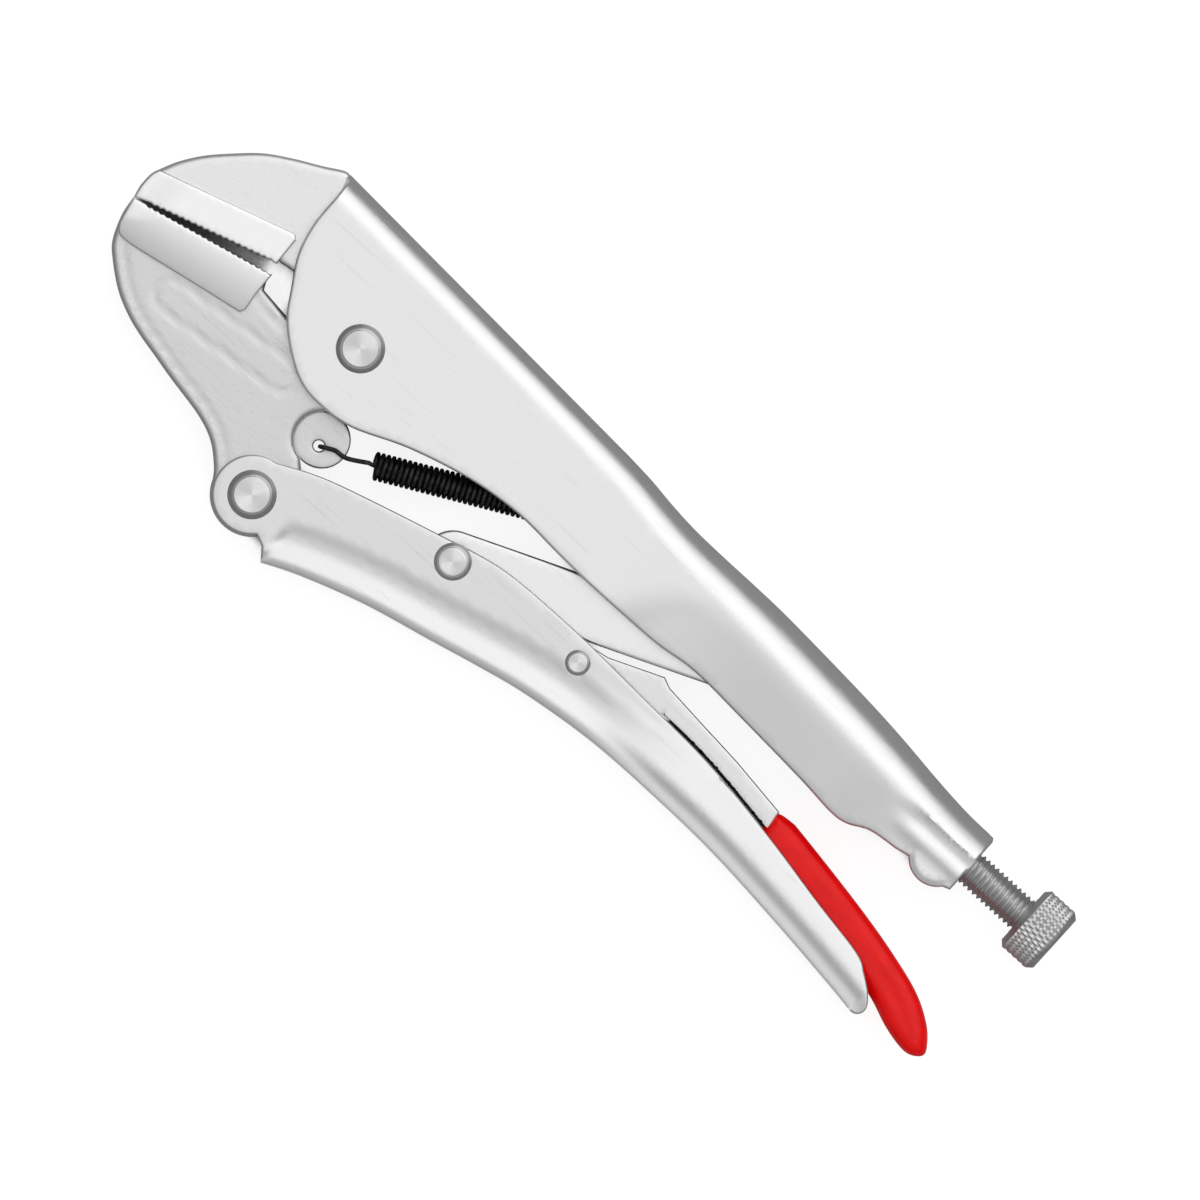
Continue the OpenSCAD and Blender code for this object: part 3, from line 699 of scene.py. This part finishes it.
def fixed_handle():
    ridge_side = joined(through(TOP), FRONT)
    lobe = arc(LOBE, LOBE_R, 218, 322, 14)
    outline = joined(ridge_side, through(FRONT_EDGE), lobe, [TAIL_X, lobe[-1][1] + 0.6])
    xs = np.arange(-24, TAIL_X, 1.1)
    ridge, fold, side, axis = handle_lines(xs)
    rows = [np.column_stack([xs, ridge - fold * (1 - math.cos(a))])
            for a in np.radians([32, 39, 46, 53, 60, 67, 74, 82, 90])]
    rear = xs[xs > 72]
    rows += [np.column_stack([rear, np.interp(rear, xs, axis) - s]) for s in (0.6, 1.2, 2, 3)]
    rows += [arc(LOBE, r, 0, 359, 40) for r in (4.5, 5.2, 5.7, 6.0)]
    bore_xs = np.arange(TAIL_X - 17.5, TAIL_X, 0.9)
    rows += [np.column_stack([bore_xs, np.full(len(bore_xs), SCREW_Y + BORE * math.sin(a))])
             for a in np.radians([-90, -75, -55, -30, 0, 30, 55, 75, 90])]
    shell = relief(outline, handle_top, handle_space, holes=[(MAIN, SHANK + RIVETED)], rim=0.6, rows=rows,
                   step=1.3)
    tab = joined(TAB_HOLE + [[-2, -1], [-1, -2.1], [1, -2.1], [2, -1], [3, 9], [-3, 9]])
    hook_tab = relief(tab, lambda x, y, d: rounded(d, TAB_HALF, 0.3), rim=0.3, holes=[(TAB_HOLE, 1.15)],
                      step=0.9)
    return solid("fixed_handle_shell", [shell, hook_tab], [handle_zinc])


# ---- lever handle ----

FLARE_X = 13                            # where the lever's spread back begins
LEVER_BACK = joined([[14.6, -47.4], [22.8, -43.8], [36.7, -39.2], [51.8, -35.6], [62.9, -32.9], [74.4, -30.5],
                     [90.9, -28.6], [107.8, -28.3], [125.2, -28.8], [143.9, -30.6], [160.9, -32.7],
                     [LEVER_X - 3.4, -33.8]])
LEVER_TIP = [[LEVER_X - 3.4, -33.8], [LEVER_X - 1.5, -33.9], [LEVER_X - 0.3, -33.0], [LEVER_X, -31.7],
             [LEVER_X - 0.6, -30.2], [LEVER_X - 2.2, -28.4]]
LEVER_EDGE = [[LEVER_X - 2.4, -28.2], [166.5, -26.1], [162.4, -23.9], [149.1, -21.5], [131.6, -18.1],
              [112, -15.3], [93.5, -14.4], [74.5, -13.6], [57.8, -13.8], [49, -15], [38.9, -17.7],
              [25, -21.5], [12.2, -25.4], polar(LEVER, LEVER_EYE, 95)]
# Half thickness at (way in from the spread back's edge, value), near the eye and near the tip.
LIP = [[-1, 6.9], [0, 6.95], [0.35, 7.12], [0.7, 7.25], [1.2, 7.36], [1.8, 7.45], [2.4, 7.38], [3.2, 7.15],
       [4.2, 6.84], [5.2, 6.6], [6.2, 6.5], [7.4, 6.55], [8.8, 6.7], [10.6, 6.88], [14, LEVER_CHEEK],
       [60, LEVER_CHEEK]]
REAR_LIP = [[-1, 6.85], [0, 6.87], [0.4, 6.98], [1.0, 7.03], [1.8, 7.06], [2.4, 7.1], [3.0, 7.2], [3.6, 7.38],
            [4.3, 7.57], [5.0, 7.65], [5.8, 7.6], [7, 7.43], [9, 7.12], [12, 6.72], [16, 6.5], [60, 6.5]]


def lever_handle():
    back = through(LEVER_BACK)
    outline = joined(back, through(LEVER_TIP)[1:-1], through(LEVER_EDGE), arc(LEVER, LEVER_EYE, 95, 319, 30),
                     [12.4, -44.6])

    def top(x, y, d):
        to_back = to_edge(np.column_stack([x, y]), back, closed=False)
        rear = ease(78, 112, x)
        profile = along(LIP, to_back) * (1 - rear) + along(REAR_LIP, to_back) * rear
        fade = ease(12.4, 15.5, x)
        z = profile * fade + LEVER_CHEEK * (1 - fade)
        by_the_lip = (to_back < 1.0) & (x > FLARE_X)
        return np.where(by_the_lip, z, z - 0.5 + rounded(d, 0.5, 0.5))

    def space(x, y):
        to_back = to_edge(np.column_stack([x, y]), back, closed=False)
        return np.where((to_back < LEVER_SHEET) & (x > FLARE_X), 0, SLOT)

    way = np.gradient(back, axis=0)
    side = np.column_stack([-way[:, 1], way[:, 0]]) / np.hypot(*way.T)[:, None]
    fine = dense(back, 1.0, closed=False)
    side = np.column_stack([np.interp(fine[:, 0], back[:, 0], side[:, k]) for k in (0, 1)])
    rows = [fine + side * s for s in (0.7, 0.95, 1.25, 1.6, 2.1, 2.6, 3.2, 3.9, 4.7, 5.6, 6.6, 7.8)]
    holes = [(LEVER, SHANK + RIVETED), (LINK, LINK_SHANK + RIVETED), (RELEASE, PIN_SHANK + RIVETED)]
    return solid("lever_channel", [relief(outline, top, space, holes=holes, rim=0.5, rows=rows, step=1.3)],
                 [shaded_lever_zinc])


# ---- toggle link and release lever ----

LINK_NOSE = np.array([NOSE_X - NOSE, SCREW_Y])
LINK_RUN = np.linalg.norm(LINK_NOSE - LINK)
LINK_WAY = (LINK_NOSE - LINK) / LINK_RUN
LINK_SIDE = np.array([-LINK_WAY[1], LINK_WAY[0]])


def toggle_link():
    half = half_depth("toggle_link")
    turn = math.degrees(math.atan2(LINK_WAY[1], LINK_WAY[0]))
    shoulder = LINK + LINK_WAY * (LINK_RUN - 6)
    outline = joined(arc(LINK, LINK_HALF, turn + 90, turn + 270, 24), shoulder - LINK_SIDE * LINK_HALF,
                     arc(LINK_NOSE, NOSE, turn - 80, turn + 80, 20), shoulder + LINK_SIDE * LINK_HALF)
    part = relief(outline, lambda x, y, d: rounded(d, half, 0.7), rim=0.7,
                  holes=[(LINK, LINK_SHANK + SWIVEL)])
    return solid("toggle_bar", [part], [link_zinc])


BLADE_FROM = 110                        # the release lever's edge is laid out from here to its end
# The edge at (share of the way back from the end, y), above and below.
BLADE_TOP = [[0.9, -11.1], [0.62, -14.2], [0.36, -17.7], [0.2, -20.6], [0.11, -22.9], [0.045, -25.8],
             [0.008, -28.5]]
BLADE_LOW = [[0.012, -31.3], [0.05, -31.7], [0.12, -30.5], [0.22, -27.7], [0.4, -24.7], [0.62, -21.9],
             [0.86, -21.4]]


def blade(grown):
    """Edge of the release lever from its shoulder round the end and back, grown all round."""
    end = RELEASE_X - 0.9
    run = RELEASE_X - BLADE_FROM
    above = [[end - s * run, y + grown] for s, y in BLADE_TOP]
    beneath = [[end - s * run, y - grown] for s, y in BLADE_LOW]
    return through(above + [[end + grown, -30.3]] + beneath)


def release_lever():
    under = LINK - LINK_SIDE * (LINK_HALF + 1.6)

    def under_link(x):
        return under[1] + (x - under[0]) * LINK_WAY[1] / LINK_WAY[0]

    edge = blade(0)
    end = SLEEVE_X + 2.5                # it ends inside the sleeve
    over = edge[(edge[:, 0] < end) & (np.arange(len(edge)) < len(edge) / 2)]
    beneath = [[end, -25], [118, -22.3]]
    front = through(LEVER_EDGE)[::-1]
    half = half_depth("release_lever")

    def channel(x):
        """The middle of the narrow channel beside the lever's edge."""
        return np.interp(x, front[:, 0], front[:, 1]) + 0.28

    def top(x, y, d):
        sunk = ease(0.42, 0.2, abs(y - channel(x))) * ease(97, 106, x)
        return rounded(d, half, 0.5) - 1.8 * sunk

    xs = np.arange(99, end, 0.8)
    rows = [np.column_stack([xs, channel(xs) + s])
            for s in (-0.55, -0.4, -0.28, -0.15, 0, 0.15, 0.28, 0.4, 0.55)]
    eye = (LINK - RELEASE) @ LINK_SIDE - LINK_HALF - 0.4
    shoulder = np.array([RELEASE[0] + 15.6, under_link(RELEASE[0] + 15.6)])
    outline = joined([RELEASE[0] + 4, under_link(RELEASE[0] + 4)], [shoulder], [shoulder + [2.4, -1]],
                     [104.7, -10], over, beneath, [100, -22.3], [RELEASE[0] + 8, -22.3],
                     arc(RELEASE, eye, 285, 100, 16))[::-1]
    part = relief(outline, top, rim=0.5, holes=[(RELEASE, PIN_SHANK + SWIVEL)], rows=rows)

    # painted shade: the faces down in the narrow channel take the spring's black, as a dark shadow line
    # beside the lever's edge
    def in_painted_shade_channel(centre):
        sunk = abs(centre[2]) < half - 0.55
        return int(centre[0] > 98 and sunk and abs(centre[1] - channel(centre[0])) < 0.5)

    return solid("release_blade", [part], [release_zinc, spring_black], pick=in_painted_shade_channel)


def release_sleeve():
    start = SLEEVE_X
    outline = blade(0.85)
    outline = outline[outline[:, 0] > start + 1.8]
    first, last = outline[0], outline[-1]
    mouth = through([last, [start + 0.7, last[1] + 0.55], [start + 0.05, (first[1] * 0.3 + last[1] * 0.7)],
                     [start + 0.05, (first[1] * 0.7 + last[1] * 0.3)], [start + 0.7, first[1] - 0.55], first])
    outline = joined(outline, mouth[1:-1])[::-1]
    half = half_depth("release_sleeve")

    def top(x, y, d):
        lip = 0.25 * np.exp(-((x - start - 1.4) / 0.9) ** 2)
        sunk = 0.35 * ease(2.6, 6, d)
        return rounded(d, half, 2.9) - 0.25 + lip - sunk * ease(160, 172, x)

    return solid("dipped_sleeve", [relief(outline, top, rim=2.9, step=0.9)], [red_vinyl])


# ---- rivets ----

def rivet(name, centre, shank, head, seat, top):
    """A clenched rivet with a turned groove and a slightly domed middle in both heads."""
    rise = top - seat
    disc = 0.74 * head
    side = head - disc
    half = [[0.01, top - 0.05 * rise], [disc * 0.35, top - 0.03 * rise], [disc * 0.8, top],
            [disc - 0.12, top - 0.02 * rise], [disc, top - 0.08 * rise], [disc + 0.08, top - 0.24 * rise],
            [disc + 0.25 * side, top - 0.3 * rise], [disc + 0.5 * side, top - 0.5 * rise],
            [disc + 0.78 * side, top - 0.8 * rise], [head - 0.04, seat + 0.05 * rise],
            [head, seat + 0.02 * rise], [head - 0.05, seat], [shank, seat]]
    profile = half + [[r, -h] for r, h in reversed(half)]
    part = upright(lathe(profile, 80), centre)

    def rim(middle):
        return int(math.hypot(*(middle[:2] - centre)) > disc + 0.02)

    return solid(name, [part], [turned_steel(name + "_steel", centre), screw_zinc], crease=30, pick=rim)


# ---- adjusting screw ----

def thread(r, h, angle):
    """M8 thread with a 1.25 mm pitch, run out at both ends."""
    crest, root, pitch = 3.96, 3.35, 1.25
    t = (h / pitch - angle / (2 * np.pi)) % 1
    tooth = np.clip(1.25 - np.abs(t - 0.5) * 3.2, 0, 1)
    return np.where(r > 3.5, root + (crest - root) * tooth, r)


def knurl(r, h, angle):
    """Diamond knurling round the knob's rim."""
    middle = 1 - np.abs(h - 4.5) / 4.5
    bite = np.abs(np.sin(angle * 22 + h * 1.1)) * np.abs(np.sin(angle * 22 - h * 1.1))
    return np.where((r > 7.6) & (middle > 0.26), r - 0.38 * (1 - bite), r)


def adjusting_screw():
    knob = 9.0
    run = KNOB_X - knob - SCREW_X
    stations = np.arange(0, run + 0.2, 0.18)
    shank = [[1.6, 0], [3.2, 0]] + [[3.96, h] for h in stations[2:]]
    back = [[1.6, run + 0.2], [1.6, 0]]
    bolt = along_screw(lathe(shank + back, 48, thread), SCREW_X)
    r = (high("adjusting_screw")[1] - low("adjusting_screw")[1]) / 2
    rim = [[r, h] for h in np.arange(1.15, knob - 1.1, 0.13)]
    face = [[0.01, 0], [4.6, 0], [4.7, 0.05], [r - 1.25, 0.05], [r - 1.05, 0.15]]
    end = [[r - 1.05, knob - 0.15], [r - 1.25, knob - 0.02], [r - 2.2, knob - 0.02], [r - 2.5, knob - 0.4],
           [2.0, knob - 0.4], [1.6, knob - 0.9], [0.01, knob - 0.9]]
    head = along_screw(lathe(face + rim + end, 176, knurl), KNOB_X - knob)

    def on_knob(centre):
        return int(centre[0] > KNOB_X - knob - 0.01)

    return solid("threaded_screw", [bolt, head], [screw_zinc, knob_zinc], pick=on_knob, crease=50)


def screw_tip():
    length, r = 6, 3.6
    profile = [[0.01, 0], [r - 2, 0], [r - 0.8, 0.5], [r, 1.6], [r, length - 0.1], [1.5, length - 0.1],
               [1.5, 2 * length], [0.01, 2 * length]]
    part = along_screw(lathe(profile, 48), low("screw_tip")[0])
    return solid("bearing_pin", [part], [screw_zinc])


# ---- return spring ----

def tension_spring():
    radius, thick, pitch, turns = 3.1, 0.5, 1.15, 42
    start = np.array([18.6, -16.3])
    angle = math.atan2(TAB_HOLE[1] - start[1] - 0.4, TAB_HOLE[0] - start[0])
    way = np.array([math.cos(angle), math.sin(angle), 0])
    side = np.array([-way[1], way[0], 0])
    up = np.array([0, 0, 1.0])
    coil_r = radius - thick
    t = np.linspace(0, turns, turns * 20 + 1)
    run = t * pitch
    base = np.array([*start, 0])
    coil = base + run[:, None] * way + coil_r * (np.sin(2 * np.pi * t)[:, None] * side
                                                 + np.cos(2 * np.pi * t)[:, None] * up)
    hx, hy = LUG_HOLE + [0.3, 0.1]
    tx, ty = TAB_HOLE - [0.3, 0.15]
    front = through([[hx, hy, -3.7], [hx, hy, -1.5], [hx, hy, 1.6], [hx + 0.2, hy + 0.1, 3.1],
                     [hx + 1.3, hy + 0.7, 3.75], [hx + 3.0, hy + 1.5, 3.6], [hx + 5.8, hy + 1.9, 3.3],
                     [start[0] - 1.2, start[1] - 0.3, 2.9]], 5)
    end = coil[-1]
    rear = through([[end[0] + 0.9, end[1] + 0.5, 2.3], [tx - 1.2, ty - 0.65, 2.0],
                    [tx - 0.2, ty - 0.1, 1.6], [tx, ty, 0], [tx, ty, -1.9]], 5)
    path = np.vstack([front, coil, rear])
    return solid("coiled_spring", [wire(path, thick, 8)], [spring_black], crease=60)


# ---- putting the pieces on their bodies ----

def mount(piece, body, node):
    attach(piece, body)
    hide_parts(node)


mount(fixed_handle(), "fixed", "fixed_handle")
mount(upper_jaw(), "fixed", "upper_jaw")
mount(lower_jaw(), "lower_jaw", "lower_jaw")
mount(lever_handle(), "lever", "lever_handle")
mount(toggle_link(), "link", "toggle_link")
mount(release_lever(), "release", "release_lever")
mount(release_sleeve(), "release", "release_sleeve")
mount(adjusting_screw(), "screw", "adjusting_screw")
mount(screw_tip(), "tip", "screw_tip")
HEAD_TOP = high("link_rivet")[2] - MID
PIN_TOP = high("release_pin")[2] - MID
mount(rivet("main_rivet", MAIN, SHANK, 5.2, CHEEK, MID), "fixed", "jaw_rivet")
mount(rivet("eye_rivet", LEVER, SHANK, 5.2, LEVER_CHEEK, MID), "lever", "lever_rivet")
mount(rivet("toggle_rivet", LINK, LINK_SHANK, 4, LEVER_CHEEK, HEAD_TOP), "lever", "link_rivet")
mount(rivet("blade_pin", RELEASE, PIN_SHANK, 2.7, LEVER_CHEEK, PIN_TOP), "lever", "release_pin")

spring = tension_spring()
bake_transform(spring)
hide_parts("tension_spring")


# ---- floor, light and camera ----

VIEW_TURN = 42.2                        # how far the tool lies turned from the picture's sides, degrees


def studio():
    bpy.ops.mesh.primitive_plane_add(size=4, location=(0.07, 0, 0))
    floor = bpy.context.object
    floor.name = "floor"
    paper = bpy.data.materials.new("paper")
    paper.use_nodes = True
    tree = paper.node_tree
    seen = Wire(tree).node("LightPath", out=0)
    # seen by the camera, the paper glows white apart from a narrow soft shadow along the tool's foot
    open_sky = Wire(tree).node("AmbientOcclusion", {"samples": 16}, {"Distance": 0.0055}, out=1)
    lit = open_sky.ramp((0.40, 0), (0.47, 1))
    white = Wire(tree).node("BsdfDiffuse", {}, {"Color": (0.36, 0.36, 0.36, 1)})
    glow = Wire(tree).node("Emission", {}, {"Color": (1, 1, 1, 1), "Strength": lit * 0.86})
    bright = Wire(tree).node("AddShader", {}, {0: white, 1: glow})
    # reflected in the metal, it is plain grey
    dim = Wire(tree).node("BsdfDiffuse", {}, {"Color": (0.42, 0.42, 0.42, 1)})
    mixed = Wire(tree).node("MixShader", {}, {0: seen, 1: dim, 2: bright})
    tree.links.new(mixed.socket, tree.nodes["Material Output"].inputs["Surface"])
    floor.data.materials.append(paper)

    world = bpy.data.worlds.new("soft_room")
    bpy.context.scene.world = world
    world.use_nodes = True
    tree = world.node_tree
    way = Wire(tree).node("TexCoord", out=0)
    # the room is bright overhead, grey near the floor, and brightest on the picture's upper right
    lean = math.radians(VIEW_TURN + 45)

    def toward(x, y, z):
        return way.node("VectorMath", {"operation": "DOT_PRODUCT"}, {0: way, 1: (x, y, z)}, out=1)

    side = toward(math.cos(lean), math.sin(lean), 0)
    across = toward(-math.sin(lean), math.cos(lean), 0)
    dome = toward(0, 0, 1).ramp((0.0, 0.15), (0.10, 0.17), (0.24, 0.46), (0.53, 0.88), (0.80, 1.0))
    tilt = side + 1.0 - across * across * 2.8
    tilt = tilt.maths("MINIMUM", tilt.maths("MAXIMUM", tilt, 0.46), 1.25)
    back = tree.nodes["Background"]
    tree.links.new((dome * tilt * 1.08).socket, back.inputs["Strength"])
    back.inputs["Color"].default_value = (1, 1, 1, 1)


def camera():
    data = bpy.data.cameras.new("camera")
    data.type = "ORTHO"
    data.ortho_scale = 0.252
    data.clip_end = 5
    eye = bpy.data.objects.new("camera", data)
    eye.location = (0.0727, -0.0053, 0.6)
    eye.rotation_euler = (0, 0, math.radians(VIEW_TURN))
    bpy.context.scene.collection.objects.link(eye)
    bpy.context.scene.camera = eye


studio()
camera()
bpy.context.scene.view_settings.view_transform = "Standard"
